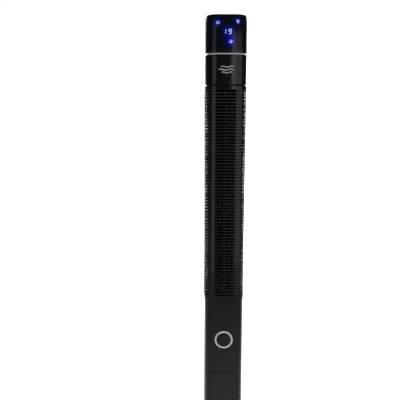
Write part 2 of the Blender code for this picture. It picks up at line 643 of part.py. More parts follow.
def main():
    for old in list(bpy.data.objects):
        bpy.data.objects.remove(old)
    make_base()
    make_neck()
    make_drive()
    make_front_covers()
    make_front_grille()
    make_rear_housing()
    make_head()
    make_impeller()
    make_motor_and_bulkheads()
    make_ducts()
    make_electronics()
    make_leads()


main()
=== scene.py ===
"""Looks of the slim tower fan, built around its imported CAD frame.

Metres, +Z up, the front faces -Y.
"""
import json
import math

import bpy
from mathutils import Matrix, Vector


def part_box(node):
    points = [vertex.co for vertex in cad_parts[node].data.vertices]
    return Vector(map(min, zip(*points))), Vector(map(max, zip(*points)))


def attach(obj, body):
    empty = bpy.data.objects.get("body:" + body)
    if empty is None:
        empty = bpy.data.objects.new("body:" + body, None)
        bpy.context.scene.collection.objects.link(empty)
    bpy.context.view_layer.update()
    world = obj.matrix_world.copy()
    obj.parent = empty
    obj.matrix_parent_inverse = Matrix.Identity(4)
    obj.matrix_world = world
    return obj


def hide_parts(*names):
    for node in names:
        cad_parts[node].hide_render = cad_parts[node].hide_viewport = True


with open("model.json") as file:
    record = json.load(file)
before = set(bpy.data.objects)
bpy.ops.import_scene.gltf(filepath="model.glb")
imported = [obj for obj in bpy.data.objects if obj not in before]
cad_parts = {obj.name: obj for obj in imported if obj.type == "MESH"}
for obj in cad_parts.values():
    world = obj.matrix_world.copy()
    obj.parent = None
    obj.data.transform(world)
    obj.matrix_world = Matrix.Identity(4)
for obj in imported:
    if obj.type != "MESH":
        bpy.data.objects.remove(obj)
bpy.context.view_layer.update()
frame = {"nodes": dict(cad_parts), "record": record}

# ---- Sizes read from the frame ----
HEAD_LOW, HEAD_HIGH = (corner.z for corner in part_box("head_shell"))
BAND_LOW, BAND_HIGH = (corner.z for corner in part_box("trim_band"))
COLLAR_LOW, COLLAR_HIGH = (corner.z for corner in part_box("upper_front_cover"))
GRILLE_LOW, GRILLE_HIGH = (corner.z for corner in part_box("front_grille"))
LOWER_LOW, LOWER_HIGH = (corner.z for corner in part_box("lower_front_cover"))
NECK_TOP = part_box("neck_column")[1].z
REAR_LOW, REAR_HIGH = (corner.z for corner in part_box("rear_housing"))
COLUMN_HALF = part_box("head_shell")[1].x
GRILLE_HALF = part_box("front_grille")[1].x
BASE_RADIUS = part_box("base_cover")[1].x
BASE_LOW, BASE_TOP = (corner.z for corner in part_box("base_cover"))
RING_LOW, RING_HIGH = (corner.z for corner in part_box("front_ring"))
WINDOW_LOW, WINDOW_HIGH = (corner.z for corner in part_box("display_window"))

# ---- Column ----
SECTION_POWER = 4.6          # superellipse exponent of the column's section
FINE_STEPS = 3000            # chords that measure the section's length
ROUND_STEPS = 192            # points round the whole section
HALF_STEPS = 96              # points along its front half
REAR_STEPS = 144             # points along its back half, where it is cut for the intake
POST_STEPS = 600             # points along the front half, where it is cut into posts
WALL = 0.0025
EDGE = 0.0005                # moulded radius on the covers' edges
MIDDLE = 0.3                 # share of its radius by which a rounded edge's middle is set in
FLAT = 1.5                   # a tall face has a point this many radii from each corner
SEAM = 0.0002                # half of the gap between the front and rear shells
GAP = 0.0003
DECK_LOW, DECK_HIGH = NECK_TOP - 0.0066, NECK_TOP - 0.0031   # the neck's bearing deck
DECK_BORE = 0.0121

# ---- Base ----
RIM_HIGH = 0.0150            # top of the base's upright rim
RIM_ROUND = 0.0060
LAND_RADIUS = 0.0720         # level land round the column's foot
BASE_WALL = 0.003
SPIGOT_BORE = 0.0305

# ---- Head and front ----
PANEL_HALF = 0.0388          # half the width of the display panel
PANEL_PROUD = 0.0004
PANEL_EASE = 0.0007
PANEL_STEPS = 72
HEAD_ROUND = 0.0035          # radius round the top of the head
BAND_PROUD = 0.0004
SYMBOL_PROUD = PANEL_PROUD + 0.0001
PRINT_PROUD = 0.0001
STROKE_THICK = 0.0003
DIGIT_HIGH, DIGIT_WIDE = 0.0100, 0.0060
DIGIT_STROKE = 0.0012
DIGIT_SLANT = 0.16
RING_RADIUS = (RING_HIGH - RING_LOW) / 2
RING_Z = (RING_HIGH + RING_LOW) / 2
RING_BAND = 0.0045
RING_PROUD = 0.0010
RING_SUNK = 0.0003

# ---- Front grille ----
SLAT_TOP = GRILLE_HIGH - 0.0109   # centre of the highest slat
SLAT_PITCH = 0.007712
SLAT_COUNT = 67
SLAT_RADIUS = 0.00125        # half the height of a slat's rounded nose
SLAT_DEPTH = 0.0060
SWEEP_START = 0.0405         # the slats turn down this far from the centre line
SWEEP_DROP = 0.0085
CORNER_DEPTH = 0.012         # and go on turning down from this far behind the face
RIB_HALF = 0.0013            # half the width of the rib down the middle
WEB_START = 0.0247           # behind the slats, webs close the opening from here
POST_START = 0.0325          # and smooth posts stand level with them from here to SWEEP_START
POST_EDGE = 0.0002

# ---- Rear intake ----
INTAKE_COUNT = 38
INTAKE_PITCH = 0.0120
INTAKE_SLOT = 0.0072
INTAKE_LOW = LOWER_HIGH + 0.0423
INTAKE_HALF = 0.0310         # half the width of the intake
INTAKE_RIB_HALF = 0.0040     # half the width of the rib down its middle
SCREEN_THICK = 0.0006

# ---- Floor and backdrop ----
FLOOR_HALF = 5
FLOOR_FRONT, FLOOR_BACK = -4.0, 1.6
COVE = 1.2                   # radius of the sweep from the floor to the backdrop
BACKDROP_HIGH = 4.0

# ---- Light strengths, in watts ----
WORLD_STRENGTH = 0.08
OVERHEAD = 80
BACKDROP = 60
SOFT_RIGHT = 4.4
SOFT_STRIP = 0.5
SOFT_LEFT = 1.3
HIGH_SIDE = 5


# ---- Section of the column ----
def section(half, start, stop, count):
    """Evenly spaced (point, outward normal) pairs on the superellipse, between two angles."""
    points = []
    for step in range(FINE_STEPS + 1):
        turn = math.radians(start + (stop - start) * step / FINE_STEPS)
        cosine, sine = math.cos(turn), math.sin(turn)
        x = half * math.copysign(abs(cosine) ** (2 / SECTION_POWER), cosine)
        y = half * math.copysign(abs(sine) ** (2 / SECTION_POWER), sine)
        points.append(Vector((x, y)))
    lengths = [0.0]
    for before, after in zip(points, points[1:]):
        lengths.append(lengths[-1] + (after - before).length)
    chosen, index = [], 0
    for step in range(count + 1):
        target = lengths[-1] * step / count
        while index < FINE_STEPS - 1 and lengths[index + 1] < target:
            index += 1
        span = lengths[index + 1] - lengths[index] or 1
        point = points[index].lerp(points[index + 1], (target - lengths[index]) / span)
        slope = [math.copysign(abs(value / half) ** (SECTION_POWER - 1), value) for value in point]
        chosen.append((point, Vector(slope).normalized()))
    return chosen


FRONT = (180, 360)
BACK = (0, 180)


def open_path(half, side, count=HALF_STEPS):
    """The front or back half of the section, short of the seams by half a gap."""
    path = section(half, *side, count)
    inset = SEAM if side == BACK else -SEAM
    for end in (0, -1):
        path[end] = (path[end][0] + Vector((0, inset)), path[end][1])
    return path


def closed_path(half):
    return section(half, 0, 360, ROUND_STEPS)[:-1]


def between(path, start, stop):
    """The part of a path with x between two limits."""
    return [pair for pair in path if start <= pair[0].x <= stop]


def face_depth(x):
    """Distance from the column's centre to its front face at this x."""
    return COLUMN_HALF * (1 - abs(x / COLUMN_HALF) ** SECTION_POWER) ** (1 / SECTION_POWER)


def on_face(x, z, proud):
    """A point that stands out from the front face by proud."""
    return x, -face_depth(x) - proud, z


# ---- Mesh helpers ----
def piece(name, vertices, faces, body, slot, surface, smooth=40):
    """A mesh object that rides on a body and takes the given surface as its finish. The slot is not
    used.
    """
    mesh = bpy.data.meshes.new(name)
    mesh.from_pydata([tuple(vertex) for vertex in vertices], [], faces)
    mesh.validate()
    mesh.shade_smooth()
    mesh.set_sharp_from_angle(angle=math.radians(smooth))
    mesh.materials.append(surface)
    made = bpy.data.objects.new(name, mesh)
    bpy.context.scene.collection.objects.link(made)
    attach(made, body)
    return made


def quads(count, size, closed=True, last=None):
    """Faces between count successive copies of a profile of size points.

    last leaves out the faces from that point of the profile on.
    """
    faces = []
    for index in range(count if closed else count - 1):
        here, there = index * size, (index + 1) % count * size
        for corner in range(size if last is None else last):
            after = (corner + 1) % size
            faces.append((here + corner, there + corner, there + after, here + after))
    return faces


def sweep(path, profile, closed=False, drop=None):
    """Vertices and faces of a profile of (outward, z) points carried along a path.

    drop gives how far each path point is lowered. An open sweep is capped at both ends.
    """
    vertices = []
    for index, (point, normal) in enumerate(path):
        lowered = drop[index] if drop else 0
        for outward, z in profile:
            place = point + normal * outward
            vertices.append((place.x, place.y, z - lowered))
    size, count = len(profile), len(path)
    faces = quads(count, size, closed)
    if not closed:
        faces.append(tuple(range(size)))
        faces.append(tuple(reversed(range((count - 1) * size, count * size))))
    return vertices, faces


def joined(parts):
    """Several (vertices, faces) lists as one."""
    vertices, faces = [], []
    for more_vertices, more_faces in parts:
        shift = len(vertices)
        vertices += more_vertices
        faces += [tuple(index + shift for index in face) for face in more_faces]
    return vertices, faces


def wall_profile(low, high, wall=WALL, edge=EDGE):
    """Cross-section of an upright wall with rounded outer edges, anticlockwise along the path.

    A point just beyond each corner keeps the shading and wear of the tall face even.
    """
    if not edge:
        outer = [(0, low), (0, low + EDGE), (0, high - EDGE), (0, high)]
        return [(-wall, low), *outer, (-wall, high)]
    low_round, high_round = [], []
    for step in range(4):
        turn = math.pi / 2 * step / 3
        sine, cosine = math.sin(turn), math.cos(turn)
        low_round.append((-edge * (1 - sine), low + edge * (1 - cosine)))
        high_round.append((-edge * (1 - cosine), high - edge * (1 - sine)))
    flat = [(0, low + edge * FLAT), (0, high - edge * FLAT)]
    return [(-wall, low), *low_round, *flat, *high_round, (-wall, high)]


def moved_out(profile, distance):
    """The same profile, further from the column's centre."""
    return [(outward + distance, z) for outward, z in profile]


def turned(profile, count):
    """A profile of (radius, z) points turned about +Z. Closed if it leaves the axis."""
    vertices = []
    for step in range(count):
        turn = 2 * math.pi * step / count
        for radius, z in profile:
            vertices.append((radius * math.cos(turn), radius * math.sin(turn), z))
    size = len(profile)
    return vertices, quads(count, size, last=size if profile[0][0] > 0 else size - 1)


def turned_front(profile, centre, count=128):
    """A profile of (radius, proud) points turned about an axis through the curved front face."""
    vertices = []
    for step in range(count):
        turn = 2 * math.pi * step / count
        for radius, proud in profile:
            x, z = centre[0] + radius * math.cos(turn), centre[1] + radius * math.sin(turn)
            vertices.append(on_face(x, z, proud))
    size = len(profile)
    faces = quads(count, size, last=size if profile[0][0] > 0 else size - 1)
    return vertices, [tuple(reversed(face)) for face in faces]


def ribbon(points, width, proud, loop=False):
    """A flat stroke along (x, z) points, laid on the curved front face and proud of it."""
    count = len(points)
    spots = [Vector(point) for point in points]
    back = proud - STROKE_THICK
    vertices, faces = [], []
    for index, spot in enumerate(spots):
        before = spots[index - 1] if loop or index else spot
        after = spots[(index + 1) % count] if loop or index < count - 1 else spot
        along = (after - before).normalized()
        side = Vector((-along.y, along.x)) * width / 2
        for offset, depth in ((side, proud), (-side, proud), (-side, back), (side, back)):
            vertices.append(on_face(*(spot + offset), depth))
    for index in range(count if loop else count - 1):
        here, there = index * 4, (index + 1) % count * 4
        for corner in range(4):
            after = (corner + 1) % 4
            faces.append((here + corner, here + after, there + after, there + corner))
    if not loop:
        faces.append((3, 2, 1, 0))
        end = (count - 1) * 4
        faces.append((end, end + 1, end + 2, end + 3))
    return vertices, faces


def plate(points, proud):
    """A flat convex shape of (x, z) points, anticlockwise, laid on the curved front face."""
    count = len(points)
    vertices = [on_face(x, z, proud) for x, z in points]
    vertices += [on_face(x, z, proud - STROKE_THICK) for x, z in points]
    faces = [tuple(range(count)), tuple(reversed(range(count, 2 * count)))]
    for corner in range(count):
        after = (corner + 1) % count
        faces.append((corner, corner + count, after + count, after))
    return vertices, faces


def arc(centre, radius, start, stop, count):
    """Points on an arc in the (x, z) plane, between two angles in degrees."""
    points = []
    for step in range(count + 1):
        turn = math.radians(start + (stop - start) * step / count)
        points.append((centre[0] + radius * math.cos(turn), centre[1] + radius * math.sin(turn)))
    return points


def loft(rings, count=ROUND_STEPS):
    """A closed surface through (half, z) sections, from a cap on the first to a cap on the last."""
    vertices, faces = [], []
    for half, z in rings:
        vertices += [(point.x, point.y, z) for point, _ in section(half, 0, 360, count)[:-1]]
    for level in range(len(rings) - 1):
        here, there = level * count, (level + 1) * count
        for corner in range(count):
            after = (corner + 1) % count
            faces.append((there + corner, there + after, here + after, here + corner))
    faces.append(tuple(range(count)))
    faces.append(tuple(reversed(range((len(rings) - 1) * count, len(rings) * count))))
    return vertices, faces


# ---- Materials ----
class Graph:
    """A small helper that adds nodes to a material and links them."""

    def __init__(self, name):
        self.material = bpy.data.materials.new(name)
        self.material.use_nodes = True
        self.nodes = self.material.node_tree.nodes
        self.links = self.material.node_tree.links
        self.shader = self.nodes["Principled BSDF"]

    def feed(self, socket, value):
        """Link another node's output to a socket, or set a constant on it."""
        if isinstance(value, bpy.types.NodeSocket):
            self.links.new(value, socket)
        else:
            socket.default_value = value

    def add(self, kind, inputs=None, **settings):
        node = self.nodes.new(kind)
        for key, value in settings.items():
            setattr(node, key, value)
        for key, value in (inputs or {}).items():
            self.feed(node.inputs[key], value)
        return node

    def set(self, **values):
        for key, value in values.items():
            self.feed(self.shader.inputs[key.replace("_", " ")], value)

    def place(self):
        return self.add("ShaderNodeTexCoord").outputs["Object"]

    def noise(self, scale, detail=3.0, roughness=0.5, stretch=(1, 1, 1)):
        mapped = self.add("ShaderNodeMapping", {"Vector": self.place(), "Scale": stretch})
        inputs = {"Vector": mapped.outputs["Vector"], "Scale": scale}
        inputs.update({"Detail": detail, "Roughness": roughness})
        return self.add("ShaderNodeTexNoise", inputs).outputs["Fac"]

    def calculate(self, operation, first, second):
        return self.add("ShaderNodeMath", {0: first, 1: second}, operation=operation).outputs[0]

    def ramp(self, value, low, high, start=0.0, stop=1.0):
        return self.add(
            "ShaderNodeMapRange",
            {"Value": value, "From Min": start, "From Max": stop, "To Min": low, "To Max": high},
        ).outputs["Result"]

    def mix(self, factor, first, second):
        """Blend of two RGB colours, or of a socket and a colour."""
        node = self.add("ShaderNodeMix", data_type="RGBA")
        for slot, value in ((0, factor), (6, first), (7, second)):
            self.feed(node.inputs[slot], (*value, 1) if isinstance(value, tuple) else value)
        return node.outputs[2]

    def bump(self, height, strength, distance):
        return self.add(
            "ShaderNodeBump", {"Height": height, "Strength": strength, "Distance": distance},
        ).outputs["Normal"]

    def edges(self, low=0.52, high=0.60):
        """Convex edges, from 0 to 1, where handling rubs the surface."""
        worn = self.add("ShaderNodeNewGeometry").outputs["Pointiness"]
        return self.ramp(worn, 0.0, 1.0, low, high)


def shade(colour, factor):
    return tuple(value * factor for value in colour)


def moulded(name, colour, worn_colour, roughness, spread, peel=0.05, peel_scale=260, ior=1.34):
    """Injection-moulded plastic: faint flow marks, orange peel, dust haze and rubbed edges."""
    graph = Graph(name)
    flow = graph.noise(9.0, 2.0, stretch=(1, 1, 0.25))
    haze = graph.noise(55.0, 5.0, 0.65)
    worn = graph.calculate("MULTIPLY", graph.edges(), graph.noise(140.0))
    tone = graph.mix(graph.ramp(flow, 0.0, 0.6), colour, shade(colour, 1.5))
    graph.set(Base_Color=graph.mix(worn, tone, worn_colour))
    base = graph.ramp(haze, roughness - spread, roughness + spread, 0.3, 0.7)
    graph.set(Roughness=graph.calculate("ADD", base, graph.ramp(worn, 0, 0.15)))
    graph.set(Normal=graph.bump(graph.noise(peel_scale, 2.0), peel, 0.0004), IOR=ior)
    return graph.material


def metal(name, colour, roughness, grain):
    """Metallised or plated metal with a fine directional grain and smudges."""
    graph = Graph(name)
    lines = graph.noise(700.0, 2.0, stretch=grain)
    smudge = graph.noise(40.0, 4.0)
    graph.set(Metallic=1.0)
    graph.set(Base_Color=graph.mix(smudge, colour, shade(colour, 0.86)))
    graph.set(Roughness=graph.ramp(smudge, roughness - 0.06, roughness + 0.10, 0.3, 0.7))
    graph.set(Normal=graph.bump(lines, 0.06, 0.0002))
    return graph.material


def rubber(name):
    """Matt rubber with a fine grain and dust."""
    graph = Graph(name)
    grain = graph.noise(900.0, 3.0)
    dust = graph.noise(70.0, 5.0, 0.7)
    settled = graph.ramp(dust, 0, 0.5, 0.45, 0.8)
    graph.set(Base_Color=graph.mix(settled, (0.018, 0.018, 0.019), (0.06, 0.058, 0.055)))
    graph.set(Roughness=graph.ramp(dust, 0.70, 0.90), Normal=graph.bump(grain, 0.25, 0.0003))
    return graph.material


def lamp(name, colour, strength):
    """Light-emitting symbol with a slightly uneven glow."""
    graph = Graph(name)
    uneven = graph.ramp(graph.noise(500.0, 1.0), 0.85 * strength, 1.1 * strength, 0.3, 0.7)
    graph.set(Base_Color=(*shade(colour, 0.3), 1), Roughness=0.35)
    graph.set(Emission_Color=(*colour, 1), Emission_Strength=uneven)
    return graph.material


def circuit(name):
    """Green solder mask over a pattern of copper tracks."""
    graph = Graph(name)
    bricks = {"Vector": graph.place(), "Scale": 160.0, "Mortar Size": 0.02}
    tracks = graph.add("ShaderNodeTexBrick", bricks).outputs["Fac"]
    graph.set(Base_Color=graph.mix(tracks, (0.010, 0.085, 0.035), (0.030, 0.190, 0.080)))
    graph.set(Roughness=graph.ramp(graph.noise(90.0), 0.28, 0.50))
    graph.set(Normal=graph.bump(tracks, 0.2, 0.0002))
    return graph.material


def printed(name):
    """Silver-grey pad print, thin enough that the gloss below shows in places."""
    graph = Graph(name)
    wear = graph.noise(220.0, 4.0, 0.6)
    thin = graph.ramp(wear, 0, 0.35, 0.5, 0.8)
    graph.set(Base_Color=graph.mix(thin, (0.66, 0.66, 0.68), (0.42, 0.42, 0.44)))
    graph.set(Roughness=graph.ramp(wear, 0.32, 0.5))
    graph.set(Normal=graph.bump(graph.noise(900.0), 0.08, 0.0001))
    return graph.material


def mesh_screen(name):
    """Fine woven dust screen."""
    graph = Graph(name)
    threads = {"Vector": graph.place(), "Scale": 260.0}
    weave = graph.add("ShaderNodeTexWave", threads, bands_direction="Z").outputs["Fac"]
    cross = graph.add("ShaderNodeTexWave", threads, bands_direction="X").outputs["Fac"]
    both = graph.calculate("MULTIPLY", weave, cross)
    graph.set(Base_Color=graph.mix(both, (0.002, 0.002, 0.002), (0.012, 0.012, 0.013)))
    graph.set(Roughness=graph.ramp(graph.noise(60.0), 0.65, 0.85))
    graph.set(Normal=graph.bump(both, 0.5, 0.0003), IOR=1.15)
    return graph.material


def glowing_glass(name, spots):
    """Smoked window lit from behind, with a blue glow at each (x, z, radius, strength) spot."""
    graph = Graph(name)
    place = graph.place()
    total = None
    for x, z, radius, strength in spots:
        flat = {"Vector": place, "Location": (-x, 0, -z), "Scale": (1, 0, 1)}
        offset = graph.add("ShaderNodeMapping", flat).outputs["Vector"]
        reach = graph.add("ShaderNodeVectorMath", {0: offset}, operation="LENGTH").outputs["Value"]
        glow = graph.ramp(reach, strength ** (2 / 3), 0.0, 0.0, radius)
        soft = graph.calculate("POWER", glow, 1.5)
        total = soft if total is None else graph.calculate("ADD", total, soft)
    graph.set(Base_Color=(0.005, 0.006, 0.012, 1))
    graph.set(Emission_Color=(0.006, 0.010, 1.0, 1), Emission_Strength=total)
    graph.set(Roughness=graph.ramp(graph.noise(30.0, 4.0), 0.03, 0.10))
    graph.set(Normal=graph.bump(graph.noise(60.0, 1.0), 0.02, 0.0003), IOR=1.26)
    return graph.material


CASING = moulded("gloss_casing", (0.0042, 0.0040, 0.0058), (0.020, 0.020, 0.023),
                 0.08, 0.02, 0.02, 160)
GRILLE = moulded("gloss_grille", (0.0050, 0.0050, 0.0066), (0.024, 0.024, 0.027),
                 0.20, 0.04, ior=1.52)
INNER = moulded("inner_plastic", (0.003, 0.003, 0.0036), (0.008, 0.008, 0.008),
                0.60, 0.08, 0.20, 700, ior=1.18)
NYLON = moulded("white_acetal", (0.62, 0.61, 0.57), (0.75, 0.74, 0.70), 0.42, 0.06, 0.1, 500)
INSERT = moulded("ring_insert", (0.0060, 0.0045, 0.0045), (0.01, 0.01, 0.01), 0.16, 0.04)
SCREEN = mesh_screen("dust_screen")
TRIM = metal("satin_trim", (0.58, 0.59, 0.61), 0.42, (1, 1, 30))
RING = metal("satin_ring", (0.56, 0.57, 0.58), 0.34, (1, 1, 1))
# plated steel darkened as painted shade, so the top stub reads as if in shadow
STUB_PAINTED_SHADE_STEEL = metal("steel_with_painted_shade", (0.04, 0.04, 0.045), 0.45, (6, 6, 1))
STEEL = metal("plated_steel", (0.50, 0.51, 0.53), 0.36, (6, 6, 1))
CAN = metal("motor_can", (0.33, 0.34, 0.36), 0.42, (1, 1, 12))
RUBBER = rubber("black_rubber")
BOARD = circuit("circuit_board")
PRINT = printed("silver_print")
LIT = lamp("lit_symbol", (0.40, 0.44, 1.0), 1.10)
DIGIT = lamp("lit_digit", (0.44, 0.64, 1.0), 1.25)

POWER_AT = (-0.0212, HEAD_HIGH - 0.0197)
MODE_AT = (0.0260, HEAD_HIGH - 0.0176)
DIGITS_AT = (0.0052, HEAD_HIGH - 0.0402)
FAN_AT = (0.0104, HEAD_HIGH - 0.0630)
PANEL = glowing_glass("display_panel", [
    (*POWER_AT, 0.0150, 0.20),
    (*MODE_AT, 0.0140, 0.20),
    (*DIGITS_AT, 0.0210, 0.24),
    (DIGITS_AT[0] + 0.0040, DIGITS_AT[1] - 0.0130, 0.0150, 0.14),
    (*FAN_AT, 0.0190, 0.28),
])

SLOT_SURFACE = {
    "gloss_black_casing": CASING,
    "grille_black": GRILLE,
    "inner_black": INNER,
    "smoked_window": INSERT,
    "bright_trim": TRIM,
    "black_rubber": RUBBER,
    "plated_steel": STEEL,
    "white_nylon": NYLON,
    "circuit_board": BOARD,
    "blue_led": LIT,
    "motor_can": CAN,
}


def finish_cad_nodes():
    """Every CAD node takes its slot's procedural finish, but the top stub shaft's plated steel is
    darkened as painted shade.
    """
    for row in frame["record"]["subparts"]:
        surface = SLOT_SURFACE[row["material_slot"]]
        mesh = frame["nodes"][row["node"]].data
        mesh.materials.clear()
        # the top stub's darkened steel is painted shade
        mesh.materials.append(STUB_PAINTED_SHADE_STEEL if row["node"] == "top_stub" else surface)


# ---- Covers ----
def make_covers():
    """Plain covers and bright band, each a wall swept round the section."""
    front = open_path(COLUMN_HALF, FRONT)
    collar = piece("collar_cover", *sweep(front, wall_profile(COLLAR_LOW, COLLAR_HIGH)),
                   "tower", "gloss_black_casing", CASING)
    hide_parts("upper_front_cover")
    lower = piece("lower_cover", *sweep(front, wall_profile(LOWER_LOW, LOWER_HIGH)),
                  "tower", "gloss_black_casing", CASING)
    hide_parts("lower_front_cover")
    band = moved_out(wall_profile(BAND_LOW, BAND_HIGH, 0.006, 0.0007), BAND_PROUD)
    bright = piece("bright_band", *sweep(closed_path(COLUMN_HALF), band, closed=True),
                   "tower", "bright_trim", TRIM)
    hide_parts("trim_band")


def make_front_ring():
    """Bright ring with rounded shoulders on the lower cover, round a dark glossy insert."""
    centre = (0, RING_Z)
    outer, inner = RING_RADIUS, RING_RADIUS - RING_BAND
    top, low, ease = RING_PROUD, -RING_SUNK, 0.0005
    shoulder = ease * MIDDLE
    profile = [(inner, low), (inner, top - ease), (inner + shoulder, top - shoulder),
               (inner + ease, top), (outer - ease, top), (outer - shoulder, top - shoulder),
               (outer, top - ease), (outer, low)]
    ring = piece("ring_band", *turned_front(profile, centre), "tower", "bright_trim", RING)
    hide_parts("front_ring")
    edge = inner - GAP
    dish = [(0, 0.0001), (edge * 0.5, 0.0002), (edge * 0.9, 0.0004), (edge, 0.0002),
            (edge, low), (0, low)]
    insert = piece("ring_centre", *turned_front(dish, centre), "tower", "smoked_window", INSERT)
    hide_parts("ring_insert")


def make_neck():
    """Fixed foot of the column, with the bored deck just below its rim that carries the tower."""
    path = closed_path(COLUMN_HALF)
    deck = []
    for point, _ in path:
        bore, rim = point.normalized() * DECK_BORE, point * (1 - WALL / 2 / COLUMN_HALF)
        deck += [(*bore, DECK_LOW), (*rim, DECK_LOW), (*rim, DECK_HIGH), (*bore, DECK_HIGH)]
    wall = sweep(path, wall_profile(BASE_TOP + GAP, NECK_TOP), closed=True)
    neck = piece("neck_foot", *joined([wall, (deck, quads(len(path), 4))]),
                 "base", "gloss_black_casing", CASING)
    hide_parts("neck_column")


def make_base():
    """Low round cover with a soft shoulder and a raised land round the column's foot."""
    foot = 0.0006
    profile = [(BASE_RADIUS - foot, BASE_LOW), (BASE_RADIUS, BASE_LOW + foot),
               (BASE_RADIUS, RIM_HIGH)]
    for step in range(1, 9):
        turn = math.pi / 2 * step / 8
        radius = BASE_RADIUS - RIM_ROUND * (1 - math.cos(turn))
        profile.append((radius, RIM_HIGH + RIM_ROUND * math.sin(turn)))
    radius, z = profile[-1]
    for step in range(1, 17):
        share = step / 16
        rise = 1 - (1 - share) ** 2
        profile.append((radius + (LAND_RADIUS - radius) * share, z + (BASE_TOP - z) * rise))
    profile += [(0.0310, BASE_TOP), (SPIGOT_BORE, BASE_TOP - 0.0005),
                (SPIGOT_BORE, BASE_TOP - BASE_WALL), (0.0715, BASE_TOP - BASE_WALL),
                (0.1045, 0.0222), (BASE_RADIUS - 0.009, 0.0180),
                (BASE_RADIUS - BASE_WALL, 0.0145), (BASE_RADIUS - BASE_WALL, BASE_LOW)]
    cover = piece("base_dome", *turned(profile, ROUND_STEPS),
                  "base", "gloss_black_casing", CASING, 50)
    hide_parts("base_cover")


# ---- Head ----
def make_head():
    """Head casing with a rounded top."""
    low, high, inside = HEAD_LOW, HEAD_HIGH, COLUMN_HALF - WALL
    rings = [(COLUMN_HALF * 0.5, high)]
    for step in range(7):
        turn = math.pi / 2 * (1 - step / 6)
        half = COLUMN_HALF - HEAD_ROUND * (1 - math.cos(turn))
        rings.append((half, high - HEAD_ROUND * (1 - math.sin(turn))))
    rings += [(COLUMN_HALF, high - HEAD_ROUND * 1.2), (COLUMN_HALF, low + EDGE * FLAT),
              (COLUMN_HALF, low + EDGE), (COLUMN_HALF - EDGE * MIDDLE, low + EDGE * MIDDLE),
              (COLUMN_HALF - EDGE, low), (inside, low),
              (inside, high - WALL - 0.001), (inside * 0.5, high - WALL)]
    casing = piece("head_casing", *loft(rings), "tower", "gloss_black_casing", CASING)
    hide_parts("head_shell")


def make_panel():
    """Display panel on the head's front, with eased edges."""
    bottom, top, ease = WINDOW_LOW, WINDOW_HIGH, PANEL_EASE
    sunk, shoulder = -0.0006, PANEL_PROUD - ease
    levels = [(bottom, sunk), (bottom, shoulder), (bottom + ease, PANEL_PROUD),
              (bottom + ease * 2, PANEL_PROUD), (top - ease * 2, PANEL_PROUD),
              (top - ease, PANEL_PROUD), (top, shoulder), (top, sunk)]
    vertices = []
    for column in range(PANEL_STEPS + 1):
        x = -PANEL_HALF + 2 * PANEL_HALF * column / PANEL_STEPS
        limit = PANEL_PROUD + min(0.0, (PANEL_HALF - abs(x)) - ease)
        vertices += [on_face(x, z, min(proud, limit)) for z, proud in levels]
    size = len(levels)
    faces = quads(PANEL_STEPS + 1, size, closed=False)
    faces.append(tuple(reversed(range(size))))
    faces.append(tuple(range(PANEL_STEPS * size, (PANEL_STEPS + 1) * size)))
    panel = piece("display_panel", vertices, faces, "tower", "smoked_window", PANEL)
    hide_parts("display_window")


def segment_digit(lit, centre, width):
    """Strokes of a slanted seven-segment digit, named a to g clockwise from the top."""
    half, up, gap = width / 2, DIGIT_HIGH / 2, 0.0004
    places = {
        "a": ((-half + gap, up), (half - gap, up)),
        "b": ((half, up - gap), (half, gap)),
        "c": ((half, -gap), (half, -up + gap)),
        "d": ((-half + gap, -up), (half - gap, -up)),
        "f": ((-half, up - gap), (-half, gap)),
        "g": ((-half + gap, 0), (half - gap, 0)),
    }
    strokes = []
    for name in lit:
        ends = [(centre[0] + x + z * DIGIT_SLANT, centre[1] + z) for x, z in places[name]]
        strokes.append(ribbon(ends, DIGIT_STROKE, SYMBOL_PROUD))
    return strokes


def make_power_symbol():
    """A ring open at the top, with an upright stroke in the opening."""
    x, z = POWER_AT
    strokes = [ribbon(arc(POWER_AT, 0.0032, 130, 410, 36), 0.0014, SYMBOL_PROUD),
               ribbon([(x, z + 0.0042), (x, z + 0.0008)], 0.0012, SYMBOL_PROUD)]
    piece("power_symbol", *joined(strokes), "tower", "blue_led", LIT)


def make_mode_symbol():
    """Three short waves that grow narrower downwards."""
    x, z = MODE_AT
    strokes = []
    for level, reach in ((0.0026, 0.0038), (0.0000, 0.0031), (-0.0026, 0.0024)):
        wave = []
        for step in range(13):
            rise = 0.0005 * math.sin(step * math.pi / 3)
            wave.append((x + reach * (step / 6 - 1), z + level + rise))
        strokes.append(ribbon(wave, 0.0013, SYMBOL_PROUD))
    piece("mode_symbol", *joined(strokes), "tower", "blue_led", LIT)


def make_digits():
    """The lit figure 19."""
    x, z = DIGITS_AT
    strokes = segment_digit("bc", (x - 0.0074, z), 0.0)
    strokes += segment_digit("abcdfg", (x + 0.0028, z), DIGIT_WIDE)
    piece("lit_digits", *joined(strokes), "tower", "blue_led", DIGIT)


def make_fan_symbol():
    """Four oval blades round a centre."""
    x, z = FAN_AT
    blades = []
    for index in range(4):
        turn = math.radians(90 * index)
        outline = []
        for step in range(12):
            bend = 2 * math.pi * step / 12
            along, across = 0.0026 + 0.0018 * math.cos(bend), 0.0004 + 0.0012 * math.sin(bend)
            outline.append((x + 1.15 * (along * math.cos(turn) - across * math.sin(turn)),
                            z + 0.95 * (along * math.sin(turn) + across * math.cos(turn))))
        blades.append(plate(outline, SYMBOL_PROUD))
    piece("fan_symbol", *joined(blades), "tower", "blue_led", LIT)


def make_breeze_mark():
    """A plain mark of three waves printed on the collar."""
    middle = (GRILLE_HIGH + BAND_LOW) / 2 - 0.0005
    rows = ((0.0066, 0.0150, 0.0020), (0.0, 0.0175, -0.0010), (-0.0066, 0.0130, 0.0015))
    waves = []
    for level, reach, shift in rows:
        line = []
        for step in range(33):
            along = step / 32
            rise = 0.0012 * math.sin(along * 3 * math.pi)
            line.append((shift + reach * (2 * along - 1), middle + level + rise))
        waves.append(ribbon(line, 0.0019, PRINT_PROUD))
    piece("breeze_mark", *joined(waves), "tower", "bright_trim", PRINT)


